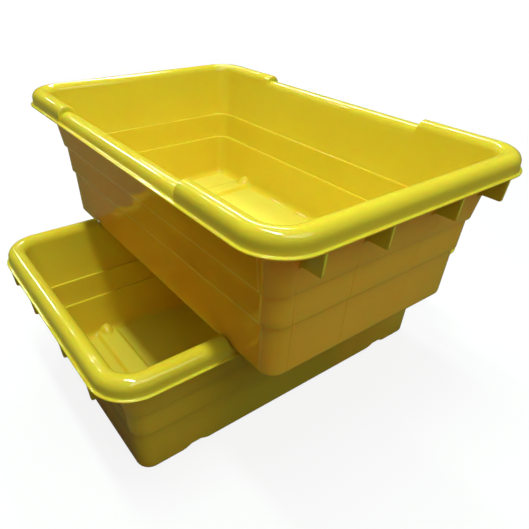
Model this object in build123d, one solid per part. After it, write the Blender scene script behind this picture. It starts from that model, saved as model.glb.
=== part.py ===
from build123d import *
import os
from math import cos, hypot, pi, sqrt

# Two equal cross-stacking lugs, millimetres. One lug stands on the ground with its long axis along X;
# the other is turned a quarter turn and rests in the lowered stretches of its side rims.
# Insets are measured inwards from the outer edge of the rim's lip.

# Overall sizes of one lug
LUG_LENGTH = 638.0
LUG_WIDTH = 410.0
LUG_HEIGHT = 208.5
WALL = 3.0

# Rim: a half-round hollow roll that ends in a thin outward lip
RIM_HEIGHT = 23.5
RIM_WIDTH = 29.5
RIM_CORNER = 53.0
CROWN_RISE = 13.0
LIP_WIDTH = 3.5
LIP_THICKNESS = 2.5
SKIRT_LEAN = 0.4

# Lowered stretch in the middle of each side rim
SADDLE_DROP = 8.0
SADDLE_CROWN_RISE = 11.0
SADDLE_SETBACK = 1.5
STEP_RUN = 5.0
STEP_SPANS = 6
SIDE_GAP = 5.5
SHOULDER_PLAY = 2.5

# Tapered walls in three tiers, each a little inside the one above
TIER_1_HEIGHT = 66.0
TIER_1_TAPER = 11.0
LEDGE_1_STEP = 3.0
TIER_2_HEIGHT = 43.0
TIER_2_TAPER = 2.0
LEDGE_2_STEP = 3.0
TIER_3_TAPER = 3.5
WALL_CORNER = 23.0
BASE_CORNER = 20.0
BASE_ROUND = 8.0
FLOOR_ROUND = 12.0

# Cross grooves in the base that seat on another lug's lowered rims
GROOVE_DEPTH = 5.5
GROOVE_SIDE = 4.0
GROOVE_RUN = 5.0
RIDGE_ROUND = 4.0
NOTCH_CLEARANCE = 0.8
NOTCH_RUN = 6.0
NOTCH_FLARE = 10.0
NOTCH_TOP = 16.0
BUMP_ROUND = 5.0
STACK_GAP = 0.3

# Gusset ribs under the rim of each end
RIB_THICKNESS = 3.0
RIB_CORNER_GAP = 9.0
RIB_PITCH = 88.0
RIB_DROP = 28.0
RIB_INSET = 1.0
RIB_LEAN = 2.5
RIB_ROUND = 3.0
RIB_ROOT = 8.0

# Heights and places worked out from the sizes above
LIP_Z = LUG_HEIGHT - RIM_HEIGHT
SHOULDER_Z = LUG_HEIGHT - CROWN_RISE
LEDGE_1_Z = LIP_Z - TIER_1_HEIGHT
LEDGE_2_Z = LEDGE_1_Z - TIER_2_HEIGHT
TOP_INSET = RIM_WIDTH - WALL
TIER_1_FOOT = TOP_INSET + TIER_1_TAPER
TIER_2_HEAD = TIER_1_FOOT + LEDGE_1_STEP
TIER_2_FOOT = TIER_2_HEAD + TIER_2_TAPER
TIER_3_HEAD = TIER_2_FOOT + LEDGE_2_STEP
BASE_INSET = TIER_3_HEAD + TIER_3_TAPER
CORNER_X = LUG_LENGTH / 2 - RIM_CORNER
CORNER_Y = LUG_WIDTH / 2 - RIM_CORNER
STACK_PITCH = LUG_HEIGHT - SADDLE_DROP - GROOVE_DEPTH + STACK_GAP
STACK_SHIFT = SHOULDER_PLAY - SIDE_GAP


def upper_wall_inset(z):
    """Inset of the outside of the top tier at height z."""
    share = (SHOULDER_Z - z) / (SHOULDER_Z - LEDGE_1_Z)
    return TOP_INSET + TIER_1_TAPER * share


def lowered_share(distance):
    """How far the rim is lowered, 0 to 1, at a distance inwards from the top of a step."""
    share = min(max(distance / STEP_RUN, 0), 1)
    return (1 - cos(pi * share)) / 2


def lower_wall_inset(z):
    """Inset of the outside of the bottom tier at height z."""
    return BASE_INSET - TIER_3_TAPER * z / LEDGE_2_Z


# The lowered rim's crown line gives the place of the grooves; the walls give the ends of the lowered stretch
SADDLE_SHOULDER_Z = LUG_HEIGHT - SADDLE_DROP - SADDLE_CROWN_RISE
SADDLE_OUTER = LIP_WIDTH + SADDLE_SETBACK + SKIRT_LEAN
SADDLE_INNER = upper_wall_inset(SADDLE_SHOULDER_Z) + WALL
GROOVE_CENTRE = LUG_WIDTH / 2 - (SADDLE_OUTER + SADDLE_INNER) / 2
GROOVE_MOUTH = (SADDLE_INNER - SADDLE_OUTER) / 2 + GROOVE_SIDE
GROOVE_CEILING = GROOVE_MOUTH - GROOVE_RUN
RIDGE_WIDEN = WALL * (hypot(GROOVE_RUN, GROOVE_DEPTH) - GROOVE_RUN) / GROOVE_DEPTH
STEP_TOP = LUG_WIDTH / 2 - lower_wall_inset(LUG_HEIGHT - STACK_PITCH) + SIDE_GAP
STEP_FOOT = STEP_TOP - STEP_RUN
NOTCH_DEPTH = GROOVE_DEPTH + SADDLE_DROP * (1 - lowered_share(SHOULDER_PLAY)) + NOTCH_CLEARANCE
NOTCH_INNER_Y = LUG_WIDTH / 2 - BASE_INSET - max(STEP_RUN - SHOULDER_PLAY, 0) - NOTCH_RUN
RIB_OUTER_Y = CORNER_Y - RIB_CORNER_GAP
RIB_INNER_Y = RIB_OUTER_Y - RIB_PITCH
RIB_FOOT_Z = LIP_Z - RIB_DROP


def on_side(x):
    """Places (inset, height) on the section across a long side at x."""
    return lambda inset, z: (x, LUG_WIDTH / 2 - inset, z)


def on_end(y):
    """Places (inset, height) on the section across an end at y."""
    return lambda inset, z: (LUG_LENGTH / 2 - inset, y, z)


def rim_section(place, lowered):
    """Section of the rim with the top of the wall; lowered runs from 0 for full height to 1 for the saddle."""
    crown = LUG_HEIGHT - SADDLE_DROP * lowered
    shoulder = crown - CROWN_RISE - (SADDLE_CROWN_RISE - CROWN_RISE) * lowered
    skirt = LIP_WIDTH + SADDLE_SETBACK * lowered
    outer = skirt + SKIRT_LEAN
    inner = upper_wall_inset(shoulder) + WALL
    foot = upper_wall_inset(LIP_Z)
    middle = (outer + inner) / 2
    lip_top = LIP_Z + LIP_THICKNESS
    corners = {
        "lip_low": place(0, LIP_Z),
        "lip_top": place(0, lip_top),
        "skirt_foot": place(skirt, lip_top),
        "outer_shoulder": place(outer, shoulder),
        "inner_shoulder": place(inner, shoulder),
        "wall_inside": place(foot + WALL, LIP_Z),
        "wall_outside": place(foot, LIP_Z),
        "channel_inner": place(inner - WALL, shoulder),
        "channel_outer": place(outer + WALL, shoulder),
        "skirt_inside": place(skirt + WALL, LIP_Z),
    }
    edges = [
        Line(corners["lip_low"], corners["lip_top"]),
        Line(corners["lip_top"], corners["skirt_foot"]),
        Line(corners["skirt_foot"], corners["outer_shoulder"]),
        ThreePointArc(corners["outer_shoulder"], place(middle, crown), corners["inner_shoulder"]),
        Line(corners["inner_shoulder"], corners["wall_inside"]),
        Line(corners["wall_inside"], corners["wall_outside"]),
        Line(corners["wall_outside"], corners["channel_inner"]),
        ThreePointArc(corners["channel_inner"], place(middle, crown - WALL), corners["channel_outer"]),
        Line(corners["channel_outer"], corners["skirt_inside"]),
        Line(corners["skirt_inside"], corners["lip_low"]),
    ]
    return Face(Wire(edges))


def rim_ring():
    """The whole rim: full height round the ends and corners, lowered along the middle of both sides."""
    end = extrude(rim_section(on_end(0), 0), CORNER_Y, dir=(0, 1, 0))
    corner_axis = Axis((CORNER_X, CORNER_Y, 0), (0, 0, 1))
    corner = revolve(rim_section(on_end(CORNER_Y), 0), corner_axis, 90)
    side = extrude(rim_section(on_side(STEP_TOP), 0), CORNER_X - STEP_TOP, dir=(1, 0, 0))
    sections = []
    for span in range(STEP_SPANS + 1):
        distance = STEP_RUN * span / STEP_SPANS
        sections.append(rim_section(on_side(STEP_TOP - distance), lowered_share(distance)))
    step = loft(sections, ruled=True)
    saddle = extrude(rim_section(on_side(0), 1), STEP_FOOT, dir=(1, 0, 0))
    quarter = end + corner + side + step + saddle
    half = quarter + mirror(quarter, about=Plane.XZ)
    return half + mirror(half, about=Plane.YZ)


def outline(inset, radius, z):
    """Rounded rectangle at height z, inset from the edge of the lip."""
    return Plane.XY.offset(z) * RectangleRounded(LUG_LENGTH - 2 * inset, LUG_WIDTH - 2 * inset, radius)


def tiers(thickness):
    """The three tiers as solids: the outside for no thickness, the cavity for the wall's thickness."""
    lip_inset = upper_wall_inset(LIP_Z)
    lip_radius = RIM_CORNER - lip_inset - thickness
    wall_radius = WALL_CORNER - thickness
    base_radius = BASE_CORNER - thickness
    top_z = LIP_Z
    ledge_1 = LEDGE_1_Z + thickness
    ledge_2 = LEDGE_2_Z + thickness
    top = loft([outline(TIER_1_FOOT + thickness, wall_radius, ledge_1),
                outline(lip_inset + thickness, lip_radius, top_z)], ruled=True)
    middle = loft([outline(TIER_2_FOOT + thickness, wall_radius, ledge_2),
                   outline(TIER_2_HEAD + thickness, wall_radius, ledge_1)], ruled=True)
    bottom = loft([outline(BASE_INSET + thickness, base_radius, thickness),
                   outline(TIER_3_HEAD + thickness, wall_radius, ledge_2)], ruled=True)
    rounding = FLOOR_ROUND if thickness else BASE_ROUND
    bottom = fillet(bottom.edges().group_by(Axis.Z)[0], rounding)
    return top + middle + bottom


def cross_prism(half_foot, half_top, foot_z, top_z, y_low, y_high):
    """Trapezoid prism across the lug, on the centre line of the groove at +X."""
    points = [(GROOVE_CENTRE - half_foot, y_low, foot_z), (GROOVE_CENTRE + half_foot, y_low, foot_z),
              (GROOVE_CENTRE + half_top, y_low, top_z), (GROOVE_CENTRE - half_top, y_low, top_z)]
    face = Face(Wire(Polyline(*points, close=True).edges()))
    return extrude(face, y_high - y_low, dir=(0, 1, 0))


def below(half_foot, half_top, depth):
    """Half width of a trapezoid's sides carried on one wall's thickness below its foot."""
    return half_foot + (half_foot - half_top) / depth * WALL


def base_cuts():
    """Grooves and side notches taken out of the outside of the base, for the +X groove."""
    side_y = LUG_WIDTH / 2
    notch_foot = GROOVE_MOUTH + NOTCH_FLARE
    notch_top = NOTCH_TOP / 2
    groove = cross_prism(below(GROOVE_MOUTH, GROOVE_CEILING, GROOVE_DEPTH), GROOVE_CEILING,
                         -WALL, GROOVE_DEPTH, -side_y, side_y)
    notch = cross_prism(below(notch_foot, notch_top, NOTCH_DEPTH), notch_top,
                        -WALL, NOTCH_DEPTH, NOTCH_INNER_Y, side_y)
    return groove + notch + mirror(notch, about=Plane.XZ)


def floor_ridges():
    """The same grooves and notches one wall further in, as ridge and bumps on the floor, for the +X groove."""
    side_y = LUG_WIDTH / 2
    notch_foot = GROOVE_MOUTH + NOTCH_FLARE + RIDGE_WIDEN
    notch_top = NOTCH_TOP / 2 + RIDGE_WIDEN
    ridge_top = GROOVE_CEILING + RIDGE_WIDEN
    ridge_foot = below(GROOVE_MOUTH + RIDGE_WIDEN, ridge_top, GROOVE_DEPTH)
    ridge = cross_prism(ridge_foot, ridge_top, 0, GROOVE_DEPTH + WALL, -side_y, side_y)
    ridge = fillet(ridge.edges().filter_by(Axis.Y).group_by(Axis.Z)[-1], RIDGE_ROUND)
    bump = cross_prism(below(notch_foot, notch_top, NOTCH_DEPTH), notch_top,
                       0, NOTCH_DEPTH + WALL, NOTCH_INNER_Y - WALL, side_y)
    inner_face = bump.faces().sort_by(Axis.Y)[0]
    foot_edge = inner_face.edges().sort_by(Axis.Z)[0]
    rounded = [edge for edge in inner_face.edges() if edge != foot_edge]
    rounded += bump.edges().filter_by(Axis.Y).group_by(Axis.Z)[-1]
    bump = fillet(rounded, BUMP_ROUND)
    return ridge + bump + mirror(bump, about=Plane.XZ)


def end_rib(y):
    """One gusset rib under the rim of the +X end, across it at y, sunk half-way into the walls it joins."""
    place = on_end(y - RIB_THICKNESS / 2)
    root = upper_wall_inset(RIB_FOOT_Z)
    bend = RIB_ROOT * sqrt(0.5)
    sunk = WALL / 2
    skirt_middle = LIP_WIDTH + SKIRT_LEAN + sunk
    wall_middle = TOP_INSET + sunk
    foot_outer = place(RIB_INSET + RIB_LEAN, RIB_FOOT_Z)
    root_start = place(root - RIB_ROOT, RIB_FOOT_Z)
    root_middle = place(root - RIB_ROOT + bend, RIB_FOOT_Z - RIB_ROOT + bend)
    root_end = place(root, RIB_FOOT_Z - RIB_ROOT)
    wall_low = place(upper_wall_inset(RIB_FOOT_Z - RIB_ROOT) + sunk, RIB_FOOT_Z - RIB_ROOT)
    wall_top = place(wall_middle, SHOULDER_Z)
    crown = place((skirt_middle + wall_middle) / 2, LUG_HEIGHT - sunk)
    skirt_top = place(skirt_middle, SHOULDER_Z)
    lip_middle_z = LIP_Z + LIP_THICKNESS / 2
    lip_inner = place(skirt_middle, lip_middle_z)
    lip_outer = place(RIB_INSET, lip_middle_z)
    edges = [
        Line(lip_outer, foot_outer),
        Line(foot_outer, root_start),
        ThreePointArc(root_start, root_middle, root_end),
        Line(root_end, wall_low),
        Line(wall_low, wall_top),
        ThreePointArc(wall_top, crown, skirt_top),
        Line(skirt_top, lip_inner),
        Line(lip_inner, lip_outer),
    ]
    rib = extrude(Face(Wire(edges)), RIB_THICKNESS, dir=(0, 1, 0))
    corner = rib.edges().filter_by(Axis.Y).sort_by(lambda edge: edge.distance_to(Vertex(*foot_outer)))[0]
    return fillet(corner, RIB_ROUND)


def both_ends(solid):
    """A solid of the +X half with its mirror image at -X."""
    return solid + mirror(solid, about=Plane.YZ)


def make_lug():
    """One lug, standing on its base at the origin with its long axis along X."""
    outside = tiers(0) - both_ends(base_cuts())
    cavity = tiers(WALL) - both_ends(floor_ridges())
    lug = outside - cavity + rim_ring()
    for y in (-RIB_OUTER_Y, -RIB_INNER_Y, RIB_INNER_Y, RIB_OUTER_Y):
        lug = lug + both_ends(end_rib(y))
    return lug


lug = make_lug()
os.makedirs("parts", exist_ok=True)
export_step(lug, "parts/lower_lug.step")
export_step(Pos(STACK_SHIFT, 0, STACK_PITCH) * Rot(0, 0, 90) * lug, "parts/upper_lug.step")
print("stack pitch", STACK_PITCH, "shift", STACK_SHIFT, "groove centre", GROOVE_CENTRE)
print("step foot and top", STEP_FOOT, STEP_TOP, "notch depth", NOTCH_DEPTH, "ribs", RIB_INNER_Y, RIB_OUTER_Y)
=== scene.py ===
from dataclasses import dataclass
from math import atan2, cos, hypot, pi, radians, sin

import bmesh
import bpy
from mathutils import Matrix, Vector


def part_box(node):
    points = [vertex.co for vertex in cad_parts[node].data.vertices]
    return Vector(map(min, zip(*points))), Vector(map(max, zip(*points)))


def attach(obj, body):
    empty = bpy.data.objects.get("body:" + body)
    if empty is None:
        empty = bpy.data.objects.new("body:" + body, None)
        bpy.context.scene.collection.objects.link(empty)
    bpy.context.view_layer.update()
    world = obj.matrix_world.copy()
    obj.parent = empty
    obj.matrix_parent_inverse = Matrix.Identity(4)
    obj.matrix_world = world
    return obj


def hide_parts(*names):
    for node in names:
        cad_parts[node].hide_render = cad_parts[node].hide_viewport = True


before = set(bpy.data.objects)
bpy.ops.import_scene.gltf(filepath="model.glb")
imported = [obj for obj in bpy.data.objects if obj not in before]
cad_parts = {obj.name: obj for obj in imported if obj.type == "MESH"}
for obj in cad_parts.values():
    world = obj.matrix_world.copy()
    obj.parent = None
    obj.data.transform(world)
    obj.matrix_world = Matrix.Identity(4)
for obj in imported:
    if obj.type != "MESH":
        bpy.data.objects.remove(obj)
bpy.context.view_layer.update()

# Two equal yellow stacking lugs. Lug sizes are in millimetres, as a maker's drawing gives them; places in the
# scene are in metres. Insets are measured inwards from the outer edge of the rim's lip. On a lug, the front
# end is at +X, the back end at -X, the left side at +Y and the right side at -Y.
MM = 0.001
LOWER_LOW, LOWER_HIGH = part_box("lower_lug")
UPPER_LOW, UPPER_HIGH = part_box("upper_lug")
LUG_LENGTH = (LOWER_HIGH[0] - LOWER_LOW[0]) / MM
LUG_WIDTH = (LOWER_HIGH[1] - LOWER_LOW[1]) / MM
LUG_HEIGHT = (LOWER_HIGH[2] - LOWER_LOW[2]) / MM
WALL = 3.0

# Rim
RIM_HEIGHT = 23.5
RIM_WIDTH = 29.5
RIM_CORNER = 53.0
CROWN_RISE = 13.0
LIP_WIDTH = 3.5
LIP_THICKNESS = 2.5
SKIRT_LEAN = 0.4
SADDLE_DROP = 8.0
SADDLE_CROWN_RISE = 11.0
SADDLE_SETBACK = 1.5
STEP_TOP = 162.1
STEP_RUN = 2.8

# Walls in three tiers
TIER_1_HEIGHT = 66.0
TIER_1_TAPER = 11.0
TIER_2_HEIGHT = 43.0
TIER_2_TAPER = 2.0
TIER_3_TAPER = 3.5
LEDGE_STEP = 3.0
WALL_CORNER = 23.0
BASE_CORNER = 20.0
BASE_ROUND = 8.0
FLOOR_ROUND = 12.0

# Cross grooves of the base, with a ridge over each on the floor and a knob at each end of the ridge
GROOVE_CENTRE = 187.1
GROOVE_DEPTH = 5.5
GROOVE_MOUTH = 16.5
GROOVE_CEILING = 11.5
NOTCH_DEPTH = 10.3
NOTCH_MOUTH = 26.5
NOTCH_CEILING = 8.0
NOTCH_INNER = 147.5
RIDGE_FOOT = 19.5
RIDGE_SLOPE = 1.7
KNOB_HEIGHT = 19.0
KNOB_HALF = 12.0
KNOB_REACH = 20.0

# Gusset ribs under the end rims, and the seams in line with them on the end walls
RIB_PLACES = (55.0, 143.0)
RIB_HALF = 1.5
RIB_DROP = 28.0
RIB_INSET = 1.0
RIB_LEAN = 2.5
RIB_ROUND = 3.0
RIB_ROOT = 8.0
RIB_ROOT_ROUND = 7.84
SEAM_DEPTH = 0.4

# Small roundings
LEDGE_ROUND = 1.6
FOOT_ROUND = 1.5
ROOT_ROUND = 0.25
LIP_ROUND = 1.1
LIP_FILLET = 1.2
HOLLOW_FILLET = 0.6
GROOVE_EASE = 0.8
RIDGE_EASE = 1.0
RIDGE_TOP_EASE = 6.0
KNOB_EASE = 5.0

# Heights and insets worked out from the sizes above
HALF_LENGTH = LUG_LENGTH / 2
HALF_WIDTH = LUG_WIDTH / 2
LIP_Z = LUG_HEIGHT - RIM_HEIGHT
LIP_TOP = LIP_Z + LIP_THICKNESS
SHOULDER_Z = LUG_HEIGHT - CROWN_RISE
LEDGE_1_Z = LIP_Z - TIER_1_HEIGHT
LEDGE_2_Z = LEDGE_1_Z - TIER_2_HEIGHT
TOP_INSET = RIM_WIDTH - WALL
TIER_1_FOOT = TOP_INSET + TIER_1_TAPER
TIER_2_HEAD = TIER_1_FOOT + LEDGE_STEP
TIER_2_FOOT = TIER_2_HEAD + TIER_2_TAPER
TIER_3_HEAD = TIER_2_FOOT + LEDGE_STEP
BASE_INSET = TIER_3_HEAD + TIER_3_TAPER
RIB_FOOT_Z = LIP_Z - RIB_DROP
RIB_ROOT_Z = RIB_FOOT_Z - RIB_ROOT
LOW_OUTSIDE_Z = NOTCH_DEPTH + 2 * GROOVE_EASE
LOW_INSIDE_Z = KNOB_HEIGHT + 2 * KNOB_EASE

# How finely the meshes are divided
CORNER_STEPS = 10
ARCH_STEPS = 16
HOLLOW_STEPS = 10
STEP_SPANS = 10
SADDLE_PLACES = (0.0, 40.0, 80.0, 120.0, 148.0)
STEP_LEAD = 2.0
GROOVE_SPACING = 2.2
GROOVE_COLUMNS = 25
PLAIN_PLACES = (0.0, 18.0, 36.0, 72.0, 90.0, 108.0, 124.0, 134.0)
END_REACH = 146.2
SHARP_ANGLE = radians(40)

# Columns of points on each half of a rib: place from the rib's middle, share of the rib, share of the seam.
# Away from the rib itself the columns spread out evenly, so that none of them fall together.
RIB_COLUMNS = (
    (0.0, 1.0, 1.0),
    (RIB_HALF - 0.45, 1.0, 1.0),
    (RIB_HALF - 0.1, 0.985, 0.0),
    (RIB_HALF, 0.94, 0.0),
    (RIB_HALF, 0.12, 0.0),
    (RIB_HALF + 0.2, 0.03, 0.0),
    (RIB_HALF + 0.9, 0.0, 0.0),
)
RIB_SPREAD = 0.5


@dataclass
class Stop:
    """A corner of a section: its place, its rounding, and the points to add on the way to the next one."""
    place: Vector
    rounding: float = 0.0
    steps: int = 3
    fill: int = 0


@dataclass
class RimShape:
    """Heights of a rim's crown and shoulders, and insets of its skirt's foot and its two shoulders."""
    crown: float
    shoulder: float
    skirt: float
    outer: float
    inner: float


@dataclass
class Station:
    """A place round the lug: spot gives x and y there for an inset, a corner radius, and whether at a rib."""
    spot: object
    lowered: float = 0.0
    rib: float = 0.0
    seam: float = 0.0


def at(inset, z, corner=None):
    """A place on the section: inset, height, and the radius of the lug's corner there."""
    return Vector((inset, z, RIM_CORNER - inset if corner is None else corner))


def upper_wall_inset(z):
    """Inset of the outside of the top tier at height z."""
    return TOP_INSET + TIER_1_TAPER * (SHOULDER_Z - z) / (SHOULDER_Z - LEDGE_1_Z)


def lower_wall_inset(z):
    """Inset of the outside of the bottom tier at height z."""
    return BASE_INSET - TIER_3_TAPER * z / LEDGE_2_Z


def lower_wall_corner(z):
    """Corner radius of the outside of the bottom tier at height z."""
    return BASE_CORNER + (WALL_CORNER - BASE_CORNER) * z / LEDGE_2_Z


def upper_wall_corner(z):
    """Corner radius of the outside of the top tier at height z."""
    at_lip = RIM_CORNER - upper_wall_inset(LIP_Z)
    return WALL_CORNER + (at_lip - WALL_CORNER) * (z - LEDGE_1_Z) / (LIP_Z - LEDGE_1_Z)


def smooth_max(a, b, ease):
    """The larger of two heights, with the crease between them eased."""
    overlap = max(ease - abs(a - b), 0) / ease
    return max(a, b) + overlap * overlap * ease / 4


def smooth_min(a, b, ease):
    """The smaller of two heights, with the crease between them eased."""
    return -smooth_max(-a, -b, ease)


def bend(before, corner, after, rounding, steps):
    """Points of the circular arc that rounds a corner of a section."""
    back = before - corner
    on = after - corner
    back_run = hypot(back.x, back.y)
    on_run = hypot(on.x, on.y)
    between = abs(atan2(back.x * on.y - back.y * on.x, back.x * on.x + back.y * on.y))
    half_turn = (pi - between) / 2
    reach = rounding * sin(half_turn) / cos(half_turn)
    start = corner + back * (reach / back_run)
    end = corner + on * (reach / on_run)
    pull = cos(half_turn)
    points = []
    for step in range(steps + 1):
        t = step / steps
        first, middle, last = (1 - t) ** 2, 2 * pull * t * (1 - t), t * t
        points.append((start * first + corner * middle + end * last) / (first + middle + last))
    return points


def path(stops):
    """Points along a section from stop to stop, with rounded corners."""
    groups = []
    for index, stop in enumerate(stops):
        if stop.rounding:
            before = stops[index - 1].place
            after = stops[index + 1].place
            groups.append(bend(before, stop.place, after, stop.rounding, stop.steps))
        else:
            groups.append([stop.place])
    points = []
    for stop, group, following in zip(stops, groups, groups[1:] + [None]):
        points += group
        for step in range(stop.fill):
            points.append(group[-1].lerp(following[0], (step + 1) / (stop.fill + 1)))
    return points


def arch(outer, inner, shoulder, crown, steps):
    """Arc over the rim from the outer to the inner shoulder."""
    half = (inner - outer) / 2
    rise = crown - shoulder
    radius = (half * half + rise * rise) / (2 * rise)
    centre_z = crown - radius
    start = atan2(shoulder - centre_z, -half)
    end = atan2(shoulder - centre_z, half)
    if start < 0:
        start += 2 * pi
    points = []
    for step in range(steps + 1):
        angle = start + (end - start) * step / steps
        points.append(at((outer + inner) / 2 + radius * cos(angle), centre_z + radius * sin(angle)))
    return points


def rib_root():
    """Place on the outer wall where the outline of a rib leaves it."""
    return at(upper_wall_inset(RIB_ROOT_Z), RIB_ROOT_Z, upper_wall_corner(RIB_ROOT_Z))


def outside(seam):
    """Outer wall from the flat of the base up to the root of the ribs."""
    low = at(lower_wall_inset(LOW_OUTSIDE_Z) + seam, LOW_OUTSIDE_Z, lower_wall_corner(LOW_OUTSIDE_Z))
    return path([
        Stop(at(BASE_INSET + BASE_ROUND, 0, BASE_CORNER - BASE_ROUND)),
        Stop(at(BASE_INSET, 0, BASE_CORNER), BASE_ROUND, steps=6, fill=5),
        Stop(low, fill=2),
        Stop(at(TIER_3_HEAD + seam, LEDGE_2_Z, WALL_CORNER), ROOT_ROUND),
        Stop(at(TIER_2_FOOT + seam, LEDGE_2_Z, WALL_CORNER), FOOT_ROUND, steps=5, fill=2),
        Stop(at(TIER_2_HEAD + seam, LEDGE_1_Z, WALL_CORNER), ROOT_ROUND),
        Stop(at(TIER_1_FOOT + seam, LEDGE_1_Z, WALL_CORNER), FOOT_ROUND, steps=5, fill=1),
        Stop(rib_root()),
    ])[:-1]


def rim_shape(lowered):
    """Shape of the rim, from its full height at 0 to the saddle at 1."""
    crown = LUG_HEIGHT - SADDLE_DROP * lowered
    shoulder = crown - CROWN_RISE - (SADDLE_CROWN_RISE - CROWN_RISE) * lowered
    skirt = LIP_WIDTH + SADDLE_SETBACK * lowered
    return RimShape(crown, shoulder, skirt, skirt + SKIRT_LEAN, upper_wall_inset(shoulder) + WALL)


def hollow(lowered):
    """Underside of the rim: up the wall, over, and down inside the skirt to the underside of the lip."""
    shape = rim_shape(lowered)
    over = arch(shape.outer + WALL, shape.inner - WALL, shape.shoulder, shape.crown - WALL, HOLLOW_STEPS)
    over.reverse()
    wall = [rib_root().lerp(over[0], step / HOLLOW_STEPS) for step in range(HOLLOW_STEPS)]
    down = path([
        Stop(over[-1], fill=2),
        Stop(at(shape.skirt + WALL, LIP_Z), HOLLOW_FILLET, fill=2),
        Stop(at(RIB_INSET, LIP_Z)),
    ])
    return wall + over + down[1:-2]


def rib_line():
    """Outline of a rib from the wall to the lip, with as many points as the hollow that it stands in."""
    steps = HOLLOW_STEPS - 2
    return path([
        Stop(at(upper_wall_inset(RIB_ROOT_Z), RIB_ROOT_Z)),
        Stop(at(upper_wall_inset(RIB_FOOT_Z), RIB_FOOT_Z), RIB_ROOT_ROUND, steps, fill=steps),
        Stop(at(RIB_INSET + RIB_LEAN, RIB_FOOT_Z), RIB_ROUND, steps=4, fill=4),
        Stop(at(RIB_INSET, LIP_Z)),
    ])


def rim(lowered):
    """Outside of the rim: round the lip, up the skirt, over the crown to the inner shoulder."""
    shape = rim_shape(lowered)
    over = arch(shape.outer, shape.inner, shape.shoulder, shape.crown, ARCH_STEPS)
    lip = path([
        Stop(at(RIB_INSET, LIP_Z)),
        Stop(at(0, LIP_Z), LIP_ROUND),
        Stop(at(0, LIP_TOP), LIP_ROUND),
        Stop(at(shape.skirt, LIP_TOP), LIP_FILLET, fill=1),
        Stop(over[0]),
    ])
    return lip[1:-1] + over[:-1]


def inside(lowered):
    """Inner wall from the rim's inner shoulder down to the flat of the floor."""
    shape = rim_shape(lowered)
    ledge_1 = LEDGE_1_Z + WALL
    ledge_2 = LEDGE_2_Z + WALL
    corner = WALL_CORNER - WALL
    low = at(lower_wall_inset(LOW_INSIDE_Z) + WALL, LOW_INSIDE_Z, lower_wall_corner(LOW_INSIDE_Z) - WALL)
    return path([
        Stop(at(shape.inner, shape.shoulder), fill=3),
        Stop(at(TIER_1_FOOT + WALL, ledge_1, corner), ROOT_ROUND),
        Stop(at(TIER_2_HEAD + WALL, ledge_1, corner), LEDGE_ROUND, steps=5, fill=2),
        Stop(at(TIER_2_FOOT + WALL, ledge_2, corner), ROOT_ROUND),
        Stop(at(TIER_3_HEAD + WALL, ledge_2, corner), LEDGE_ROUND, steps=5, fill=2),
        Stop(low, fill=5),
        Stop(at(BASE_INSET + WALL, WALL, BASE_CORNER - WALL), FLOOR_ROUND, steps=8),
        Stop(at(BASE_INSET + WALL + FLOOR_ROUND, WALL, BASE_CORNER - WALL - FLOOR_ROUND)),
    ])


def slope_from_groove(x, half_top, half_foot, height):
    """Height of a groove's ceiling or sloping side at x, falling on below its foot."""
    distance = abs(abs(x) - GROOVE_CENTRE)
    return min(height, height * (half_foot - distance) / (half_foot - half_top))


def base_height(x, y):
    """Height of the grooves and notches cut into the underside at a place."""
    height = slope_from_groove(x, GROOVE_CEILING, GROOVE_MOUTH, GROOVE_DEPTH)
    if abs(y) > NOTCH_INNER:
        height = max(height, slope_from_groove(x, NOTCH_CEILING, NOTCH_MOUTH, NOTCH_DEPTH))
    return height


def floor_height(x, y):
    """Height of the ridges and of the knobs at their ends, on the floor at a place."""
    off = abs(abs(x) - GROOVE_CENTRE)
    from_wall = max(HALF_WIDTH - BASE_INSET - WALL - abs(y), 0)
    ridge = smooth_min(GROOVE_DEPTH, RIDGE_SLOPE * (RIDGE_FOOT - off), RIDGE_TOP_EASE)
    dome = 1 - (off / KNOB_HALF) ** 2 - (from_wall / KNOB_REACH) ** 2
    knob = (KNOB_HEIGHT - WALL) * (dome ** 0.5 if dome > 0 else dome)
    return WALL + smooth_max(ridge, knob, KNOB_EASE)


def section(station):
    """Points at a station in order, in groups: points, whether at a rib, what lifts them, and its easing."""
    outer = outside(SEAM_DEPTH * station.seam)
    under = [a.lerp(b, station.rib) for a, b in zip(hollow(station.lowered), rib_line(), strict=True)]
    return (
        (outer + under[:1], False, base_height, GROOVE_EASE),
        (under[1:-1], True, base_height, GROOVE_EASE),
        (under[-1:] + rim(station.lowered), False, base_height, GROOVE_EASE),
        (inside(station.lowered), False, floor_height, RIDGE_EASE),
    )


def side_places():
    """Places along a long side as (x, how far the rim is lowered), from -X to +X."""
    half = [(x, 1.0) for x in (*SADDLE_PLACES, STEP_TOP - STEP_RUN - STEP_LEAD)]
    for step in range(STEP_SPANS + 1):
        angle = pi / 2 * (1 - step / STEP_SPANS)
        half.append((STEP_TOP - STEP_RUN * sin(angle), 1 - cos(angle)))
    half += [(STEP_TOP + GROOVE_SPACING * (step + 1), 0.0) for step in range(GROOVE_COLUMNS)]
    return [(-x, lowered) for x, lowered in half[:0:-1]] + half


def end_places():
    """Places across an end as (y at the ribs, y elsewhere, rib, seam), from +Y to -Y."""
    half = [(y, y, 0.0, 0.0) for y in PLAIN_PLACES]
    for middle in RIB_PLACES:
        for number, (offset, rib, seam) in enumerate(RIB_COLUMNS):
            half.append((middle + offset, middle + RIB_SPREAD * number, rib, seam))
            if number:
                half.append((middle - offset, middle - RIB_SPREAD * number, rib, seam))
    half.sort(key=lambda place: place[1])
    other = [(-rib_y, -plain_y, rib, seam) for rib_y, plain_y, rib, seam in half if plain_y > 0]
    return half[::-1] + other


def side_spot(x, sign):
    """Spot on a long side, at one x whatever the inset."""
    return lambda inset, corner, at_rib: (x, sign * (HALF_WIDTH - inset))


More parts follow.
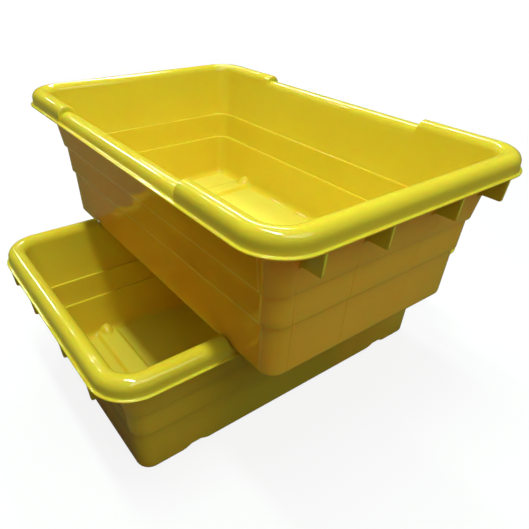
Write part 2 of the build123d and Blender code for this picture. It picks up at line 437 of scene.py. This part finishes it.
def end_spot(rib_y, plain_y, sign):
    """Spot on an end, drawn in towards the middle where the straight of the end is short."""
    def spot(inset, corner, at_rib):
        y = rib_y if at_rib else plain_y
        straight = HALF_WIDTH - inset - corner
        return sign * (HALF_LENGTH - inset), y * min(1, straight / END_REACH)
    return spot


def corner_spot(sign_x, sign_y, angle):
    """Spot on a corner, at an angle from X on the arc of the corner's radius."""
    def spot(inset, corner, at_rib):
        x = HALF_LENGTH - inset - corner + corner * cos(angle)
        y = HALF_WIDTH - inset - corner + corner * sin(angle)
        return sign_x * x, sign_y * y
    return spot


def side_run(sign):
    """Stations along a long side with the corners at both ends of it, from -X to +X."""
    angles = [pi / 2 * step / CORNER_STEPS for step in range(CORNER_STEPS + 1)]
    run = [Station(corner_spot(-1, sign, angle)) for angle in angles]
    run += [Station(side_spot(x, sign), lowered) for x, lowered in side_places()]
    run += [Station(corner_spot(1, sign, angle)) for angle in angles[::-1]]
    return run


def end_run(sign):
    """Stations across an end, from +Y to -Y."""
    return [Station(end_spot(rib_y, plain_y, sign), rib=rib, seam=seam)
            for rib_y, plain_y, rib, seam in end_places()]


def lug_mesh(name, turn, place):
    """Mesh of one lug, turned about Z and moved to its place in the scene."""
    left_side = side_run(1)
    loop = left_side + end_run(1) + side_run(-1)[::-1] + end_run(-1)[::-1]
    mesh = bmesh.new()
    columns = []
    for station in loop:
        column = []
        for points, at_rib, lift, ease in section(station):
            for inset, z, corner in points:
                x, y = station.spot(inset, corner, at_rib)
                column.append(mesh.verts.new((x, y, smooth_max(z, lift(x, y), ease))))
        columns.append(column)
    for column, following in zip(columns, columns[1:] + columns[:1]):
        for row in range(len(column) - 1):
            mesh.faces.new((column[row], following[row], following[row + 1], column[row + 1]))
    base_ring = [column[0] for column in columns]
    floor_ring = [column[-1] for column in columns]
    fill_flat(mesh, base_ring, len(left_side), base_height, 0, GROOVE_EASE)
    fill_flat(mesh, floor_ring, len(left_side), floor_height, WALL, RIDGE_EASE)
    bmesh.ops.recalc_face_normals(mesh, faces=mesh.faces)
    into_scene = Matrix.Translation(place) @ Matrix.Rotation(turn, 4, "Z") @ Matrix.Scale(MM, 4)
    bmesh.ops.transform(mesh, verts=mesh.verts, matrix=into_scene)
    data = bpy.data.meshes.new(name)
    mesh.to_mesh(data)
    mesh.free()
    data.shade_smooth()
    data.set_sharp_from_angle(angle=SHARP_ANGLE)
    return data


def fill_flat(mesh, ring, side_count, lift, ground, ease):
    """Grid of faces across the floor or the base, joined to the ring of points round it."""
    shares = [plain_y / END_REACH for _, plain_y, _, _ in end_places()]
    end_count = len(shares)
    left = ring[:side_count]
    front = ring[side_count:side_count + end_count]
    right = ring[side_count + end_count:2 * side_count + end_count][::-1]
    back = ring[2 * side_count + end_count:][::-1]
    grid = []
    for index, (a, b) in enumerate(zip(left, right)):
        if index == 0:
            between = back
        elif index == side_count - 1:
            between = front
        else:
            between = []
            for share in shares:
                spot = a.co.lerp(b.co, (1 - share) / 2)
                height = smooth_max(ground, lift(spot.x, spot.y), ease)
                between.append(mesh.verts.new((spot.x, spot.y, height)))
        grid.append([a] + between + [b])
    for first, second in zip(grid, grid[1:]):
        for row in range(len(first) - 1):
            mesh.faces.new((first[row], first[row + 1], second[row + 1], second[row]))


# Materials
class Shade:
    """A value or colour in a node tree. Sums on it add Math nodes, and node adds any other node."""

    def __init__(self, tree, socket=None):
        self.tree = tree
        self.socket = socket

    def node(self, kind, settings=None, inputs=None, out=0):
        """A new node's output, with its settings made first and then its sockets' values or links."""
        added = self.tree.nodes.new(kind)
        for key, value in (settings or {}).items():
            setattr(added, key, value)
        for key, value in (inputs or {}).items():
            if isinstance(value, Shade):
                self.tree.links.new(value.socket, added.inputs[key])
            else:
                added.inputs[key].default_value = value
        return Shade(self.tree, added.outputs[out] if added.outputs else None)

    def sum(self, operation, a, b):
        return self.node("ShaderNodeMath", {"operation": operation}, {0: a, 1: b})

    def __add__(self, other):
        return self.sum("ADD", self, other)

    def __radd__(self, other):
        return self.sum("ADD", other, self)

    def __sub__(self, other):
        return self.sum("SUBTRACT", self, other)

    def __rsub__(self, other):
        return self.sum("SUBTRACT", other, self)

    def __mul__(self, other):
        return self.sum("MULTIPLY", self, other)

    def __rmul__(self, other):
        return self.sum("MULTIPLY", other, self)

    def __abs__(self):
        return self.sum("ABSOLUTE", self, 0.0)


def noise(place, scale, detail=2.0):
    """Soft noise from 0 to 1 over a place, with scale in repeats per metre."""
    return place.node("ShaderNodeTexNoise", {}, {"Vector": place, "Scale": scale, "Detail": detail})


def stretched(place, scales):
    """A place scaled by its own amount along each axis."""
    return place.node("ShaderNodeVectorMath", {"operation": "MULTIPLY"}, {0: place, 1: scales})


def part(vector, axis):
    """One part of a vector: 0 for x, 1 for y and 2 for z."""
    return vector.node("ShaderNodeSeparateXYZ", {}, {0: vector}, out=axis)


def mask(value, low, high):
    """Value spread from 0 at low to 1 at high, and held there beyond."""
    return value.node("ShaderNodeMapRange", {"clamp": True}, {
        "Value": value, "From Min": low, "From Max": high, "To Min": 0.0, "To Max": 1.0})


def thin_line(value, half):
    """1 where a value is 0, falling to 0 at half on both sides of it."""
    return mask(abs(value), half, 0.0)


def mixed(factor, a, b):
    """Colour a where the factor is 0 and b where it is 1."""
    return factor.node("ShaderNodeMix", {"data_type": "RGBA"}, {"Factor": factor, 6: a, 7: b}, out=2)


def object_place(tree):
    """Place on the object itself, in metres."""
    return tree.node("ShaderNodeTexCoord", out="Object")


def surface_normal(tree):
    """The way that the surface faces."""
    return tree.node("ShaderNodeNewGeometry", out="Normal")


def new_tree(name):
    """An empty material and the start of its node tree."""
    material = bpy.data.materials.new(name)
    material.use_nodes = True
    material.node_tree.nodes.clear()
    return material, Shade(material.node_tree)


# Colours of the plastic: clouded from YELLOW to DEEP_YELLOW, paler where scuffed, and with painted light: a
# paler level floor, where it is also worn, and pale lines on ledges, corners and rib edges
YELLOW = (0.83, 0.63, 0.04, 1.0)
DEEP_YELLOW = (0.8, 0.6, 0.034, 1.0)
SCUFF_YELLOW = (0.86, 0.7, 0.09, 1.0)
RIB_HIGHLIGHT_YELLOW = (1.0, 0.82, 0.06, 1.0)
LEDGE_LIGHT_YELLOW = (1.0, 0.95, 0.2, 1.0)
FLOOR_LIGHT_YELLOW = (0.88, 0.74, 0.11, 1.0)

# Clouds, scuffs and surface: repeats per metre, and the part of the noise that each mask spreads
CLOUD_SCALE = 9.0
CLOUD_DETAIL = 3.0
CLOUD_SPREAD = (0.35, 0.68)
DRAWN_SCALES = (320.0, 320.0, 14.0)
DRAWN_SPREAD = (0.62, 0.78)
PATCH_SCALE = 22.0
PATCH_SPREAD = (0.48, 0.66)
SCUFF_SHARE = 0.25
PEEL_SCALE = 420.0
GRAIN_SCALE = 2600.0
FINE_DETAIL = 1.0
GRAIN_SHARE = 0.06
PEEL_STRENGTH = 0.04
PEEL_DEPTH = 0.0004

# Gloss and the glow of light within the plastic
GLOSS_ROUGHNESS = 0.045
CLOUD_ROUGHNESS = 0.01
SCUFF_ROUGHNESS = 0.03
WORN_ROUGHNESS = 0.2
PLASTIC_IOR = 1.5
GLOW_WEIGHT = 0.5
GLOW_RADIUS = (1.0, 0.15, 0.03)
GLOW_DEPTH = 0.008

# Painted light lines along the ledges and corners, in metres; the corners lean outwards as they rise
LIGHT_LINE_HALF = 0.002
LIGHT_LINE_LIFT = 0.0014
CORNER_START = 0.25
CORNER_LEAN = 0.0714
CORNER_TOP = 0.19
CORNER_FADE = 0.01
CORNER_SHARE = 0.7
LINE_END_FADE = 0.001
OUTWARDS_SPREAD = (0.5, 0.8)

# Painted highlights on the rib edges: how far out they stand, and how far their faces turn from the lug's
# middle, in metres
RIB_REACH = (HALF_LENGTH - RIB_INSET - RIB_LEAN - 2) * MM
RIB_FADE = 0.001
RIB_TURN_SPREAD = (0.2, 0.28)

# Worn floor, also painted paler as light falling on it: below the top height given here, where the floor is
# level
WORN_AND_LIT_TOP = 0.03
WORN_AND_LIT_FADE = 0.01
WORN_AND_LIT_LEAST = 0.6
LEVEL_SPREAD = (0.9, 0.99)


def painted_ledge_light(tree, place, height):
    """Painted light lines on the outer sides that face X: along the ledges and down where the corners begin.
    """
    from_corner = abs(part(place, 1)) - CORNER_START - CORNER_LEAN * height
    side = tree.sum("SIGN", part(place, 0), 0.0)
    outwards = part(surface_normal(tree), 0) * side
    ledges = thin_line(height - (LEDGE_1_Z * MM + LIGHT_LINE_LIFT), LIGHT_LINE_HALF)
    ledges = ledges + thin_line(height - (LEDGE_2_Z * MM + LIGHT_LINE_LIFT), LIGHT_LINE_HALF)
    ledges = ledges * mask(from_corner, LINE_END_FADE, 0.0)
    corners = thin_line(from_corner, LIGHT_LINE_HALF) * mask(height, CORNER_TOP, CORNER_TOP - CORNER_FADE)
    return (ledges + CORNER_SHARE * corners) * mask(outwards, *OUTWARDS_SPREAD)


def painted_rib_highlights(tree, place, height):
    """Painted highlights on the outer edges of the ribs, which stand further out than any wall below the lip.
    """
    furthest = tree.sum("MAXIMUM", abs(part(place, 0)), abs(part(place, 1)))
    outwards = tree.node("ShaderNodeVectorMath", {"operation": "DOT_PRODUCT"},
                         {0: surface_normal(tree), 1: place}, out=1)
    below_lip = mask(height, LIP_Z * MM, LIP_Z * MM - RIB_FADE)
    return mask(furthest, RIB_REACH - RIB_FADE, RIB_REACH) * below_lip * mask(outwards, *RIB_TURN_SPREAD)


def worn_and_lit_floor(tree, height):
    """The flat inside of the floor: dulled by what has lain on it, and painted paler as light falling on it.
    """
    level = mask(part(surface_normal(tree), 2), *LEVEL_SPREAD)
    return mask(height, WORN_AND_LIT_TOP, WORN_AND_LIT_TOP - WORN_AND_LIT_FADE) * level


def yellow_plastic(name, base, wear_and_floor_light, painted_light_share):
    """Glossy moulded polyethylene for a lug whose base is at a height, with its floor wear and painted floor
    light, and its painted light lines and rib-edge highlights.
    """
    material, tree = new_tree(name)
    place = object_place(tree)
    height = part(place, 2) - base
    clouds = mask(noise(place, CLOUD_SCALE, CLOUD_DETAIL), *CLOUD_SPREAD)
    drawn = mask(noise(stretched(place, DRAWN_SCALES), 1.0), *DRAWN_SPREAD)
    scuffs = drawn * mask(noise(place, PATCH_SCALE), *PATCH_SPREAD)
    # Wear that dulls the level floor, also used to paint it paler as light on it
    worn_and_lit = worn_and_lit_floor(tree, height) * (WORN_AND_LIT_LEAST + (1 - WORN_AND_LIT_LEAST) * clouds) * wear_and_floor_light
    colour = mixed(clouds, YELLOW, DEEP_YELLOW)
    colour = mixed(scuffs * SCUFF_SHARE, colour, SCUFF_YELLOW)
    # Painted light: the level floor paler, where it is also worn
    colour = mixed(worn_and_lit, colour, FLOOR_LIGHT_YELLOW)
    # Painted highlights on the outer edges of the ribs
    colour = mixed(painted_rib_highlights(tree, place, height) * painted_light_share, colour, RIB_HIGHLIGHT_YELLOW)
    # Painted light lines along the ledges and where the corners begin
    colour = mixed(painted_ledge_light(tree, place, height) * painted_light_share, colour, LEDGE_LIGHT_YELLOW)
    roughness = GLOSS_ROUGHNESS + CLOUD_ROUGHNESS * clouds + SCUFF_ROUGHNESS * scuffs + WORN_ROUGHNESS * worn_and_lit
    surface = noise(place, PEEL_SCALE, FINE_DETAIL) + GRAIN_SHARE * noise(place, GRAIN_SCALE, FINE_DETAIL)
    normal = tree.node("ShaderNodeBump", {}, {
        "Strength": PEEL_STRENGTH, "Distance": PEEL_DEPTH, "Height": surface})
    shader = tree.node("ShaderNodeBsdfPrincipled", {}, {
        "Base Color": colour,
        "Roughness": roughness,
        "Normal": normal,
        "IOR": PLASTIC_IOR,
        "Subsurface Weight": GLOW_WEIGHT,
        "Subsurface Radius": GLOW_RADIUS,
        "Subsurface Scale": GLOW_DEPTH,
    })
    tree.node("ShaderNodeOutputMaterial", {}, {"Surface": shader})
    return material


# Pieces
def add_piece(name, data, material, body, node):
    """One lug as a piece that stands for its CAD node and moves with its body."""
    piece = bpy.data.objects.new(name, data)
    bpy.context.scene.collection.objects.link(piece)
    data.materials.append(material)
    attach(piece, body)
    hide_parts(node)
    return piece


LOWER_PLACE = Vector((0, 0, 0))
UPPER_PLACE = Vector(((UPPER_LOW[0] + UPPER_HIGH[0]) / 2, (UPPER_LOW[1] + UPPER_HIGH[1]) / 2, UPPER_LOW[2]))
# Shares of floor wear with painted floor light, and of painted ledge and rib-edge light, on each lug
LOWER_WEAR_AND_LIGHT = 0.5
LOWER_PAINTED_LIGHT = 0.2
UPPER_WEAR_AND_LIGHT = 1.0
UPPER_PAINTED_LIGHT = 1.0

add_piece("lower_tub", lug_mesh("lower_tub", 0, LOWER_PLACE),
          yellow_plastic("lower_plastic", LOWER_PLACE.z, LOWER_WEAR_AND_LIGHT, LOWER_PAINTED_LIGHT),
          "lower_lug", "lower_lug")
add_piece("upper_tub", lug_mesh("upper_tub", pi / 2, UPPER_PLACE),
          yellow_plastic("upper_plastic", UPPER_PLACE.z, UPPER_WEAR_AND_LIGHT, UPPER_PAINTED_LIGHT),
          "upper_lug", "upper_lug")


# Floor and background, both white to the camera
WHITE = (1.0, 1.0, 1.0, 1.0)
FLOOR_SIDE = 24.0
FLOOR_TONE = (0.175, 0.15, 0.055, 1.0)
FLOOR_WHITE = (0.95, 0.95, 0.95, 1.0)
FLOOR_LIFT = 0.87
SHADE_REACH = 0.8
SHADE_END = 2.2
GLOSS_SHARE = 0.02
HORIZON = 0.05
ZENITH = 0.7
OVERHEAD_SPREAD = (0.88, 0.99)


def background_share(tree):
    """How far a ray sees the white background: fully from the camera and through glass, faintly in gloss."""
    camera, glass, gloss = [tree.node("ShaderNodeLightPath", out=f"Is {kind} Ray")
                            for kind in ("Camera", "Transmission", "Glossy")]
    return camera + glass + GLOSS_SHARE * gloss


def pale_floor():
    """A floor that reads white in full light, keeps the soft shadow and tints the light on the lugs."""
    data = bpy.data.meshes.new("floor")
    half = FLOOR_SIDE / 2
    corners = [(-half, -half, 0), (half, -half, 0), (half, half, 0), (-half, half, 0)]
    data.from_pydata(corners, [], [(0, 1, 2, 3)])
    floor = bpy.data.objects.new("floor", data)
    bpy.context.scene.collection.objects.link(floor)
    material, tree = new_tree("pale_floor")
    seen = background_share(tree)
    matte = tree.node("ShaderNodeBsdfDiffuse", {}, {"Color": mixed(seen, FLOOR_TONE, FLOOR_WHITE)})
    glow = tree.node("ShaderNodeEmission", {}, {"Color": WHITE, "Strength": 1.0})
    distance = tree.node("ShaderNodeVectorMath", {"operation": "LENGTH"}, {0: object_place(tree)}, out=1)
    lift = FLOOR_LIFT + (1 - FLOOR_LIFT) * mask(distance, SHADE_REACH, SHADE_END)
    surface = tree.node("ShaderNodeMixShader", {}, {0: seen * lift, 1: matte, 2: glow})
    tree.node("ShaderNodeOutputMaterial", {}, {"Surface": surface})
    data.materials.append(material)


def white_world():
    """A dim room with a brighter ceiling for light, seen as white behind the lugs."""
    world = bpy.data.worlds.new("room")
    bpy.context.scene.world = world
    world.use_nodes = True
    world.node_tree.nodes.clear()
    tree = Shade(world.node_tree)
    upwards = part(tree.node("ShaderNodeTexCoord", out="Generated"), 2)
    room = HORIZON + ZENITH * mask(upwards, *OVERHEAD_SPREAD)
    share = background_share(tree)
    strength = room * (1 - share) + share
    background = tree.node("ShaderNodeBackground", {}, {"Color": WHITE, "Strength": strength})
    tree.node("ShaderNodeOutputWorld", {}, {"Surface": background})


# Lamps. Ceiling lamps are given as x, y, width, length and power, fill lamps as place, side and power, and
# each row of tubes as x, width and its tubes' y and length.
CEILING = 2.4
LAMP_COLOUR = (0.85, 1.0, 0.92)
CEILING_LAMPS = ((-0.45, -1.8, 1.0, 1.2, 12.0), (-0.45, -0.2, 0.15, 1.2, 35.0))
FILL_TARGET = Vector((0.0, 0.0, 0.3))
FILL_LAMPS = ((Vector((0.4, -1.7, 2.0)), 1.2, 9.5), (Vector((-1.0, -1.85, 1.8)), 0.12, 2.0))
TUBE_GLOW = 85.0
LEFT_TUBES = ((1.79, 0.05), (1.92, 0.06), (2.22, 0.06), (2.6, 0.05), (3.45, 1.15), (4.25, 0.08), (4.6, 0.1),
              (4.95, 0.08), (5.36, 0.1))
RIGHT_TUBES = ((0.74, 0.08), (0.97, 0.22), (1.74, 1.2), (2.5, 0.2), (2.8, 0.08), (3.05, 0.08), (3.3, 0.12),
               (3.55, 0.08))
TUBE_ROWS = ((-0.45, 0.3, LEFT_TUBES), (1.0, 0.35, RIGHT_TUBES))


def add_lamp(name, place, width, length, power, target=None):
    """One flat lamp, wide along X and long along Y, that shines straight down or at a target."""
    light = bpy.data.lights.new(name, "AREA")
    light.shape = "RECTANGLE"
    light.size = width
    light.size_y = length
    light.energy = power
    light.color = LAMP_COLOUR
    lamp = bpy.data.objects.new(name, light)
    lamp.location = place
    if target is not None:
        lamp.rotation_euler = (target - place).to_track_quat("-Z", "Y").to_euler()
    bpy.context.scene.collection.objects.link(lamp)


def ceiling_lamps():
    """The lamps that light the lugs, and two rows of tubes behind them that show as streaks on the rims."""
    for x, y, width, length, power in CEILING_LAMPS:
        add_lamp("lamp", (x, y, CEILING), width, length, power)
    for x, width, tubes in TUBE_ROWS:
        for y, length in tubes:
            add_lamp("lamp", (x, y, CEILING), width, length, TUBE_GLOW * width * length)


def fill_lamps():
    """A broad lamp in front that lights the walls turned to it, and a small one for glints on the corners."""
    for place, side, power in FILL_LAMPS:
        add_lamp("fill", place, side, side, power, FILL_TARGET)


# Camera
IMAGE_SIDE = 529
FOCAL_PIXELS = 510.43
CENTRE_PIXEL = (239.58, 277.12)
CAMERA_PLACE = Vector((-0.42893, -0.57223, 0.59581))
CAMERA_TARGET = Vector((0.0, 0.0, 0.13233))
CAMERA_ROLL = radians(1.15)
SENSOR = 36.0
NEAREST = 0.02
FURTHEST = 60.0


def fitted_camera():
    """Camera at the photograph's place, with its lens and framing."""
    data = bpy.data.cameras.new("camera")
    data.sensor_fit = "HORIZONTAL"
    data.sensor_width = SENSOR
    data.lens = SENSOR * FOCAL_PIXELS / IMAGE_SIDE
    data.shift_x = 0.5 - CENTRE_PIXEL[0] / IMAGE_SIDE
    data.shift_y = CENTRE_PIXEL[1] / IMAGE_SIDE - 0.5
    data.clip_start = NEAREST
    data.clip_end = FURTHEST
    camera = bpy.data.objects.new("camera", data)
    camera.location = CAMERA_PLACE
    aim = (CAMERA_TARGET - CAMERA_PLACE).to_track_quat("-Z", "Y").to_matrix().to_4x4()
    camera.rotation_euler = (aim @ Matrix.Rotation(CAMERA_ROLL, 4, "Z")).to_euler()
    bpy.context.scene.collection.objects.link(camera)
    bpy.context.scene.camera = camera


pale_floor()
white_world()
ceiling_lamps()
fill_lamps()
fitted_camera()
bpy.context.scene.view_settings.view_transform = "Standard"
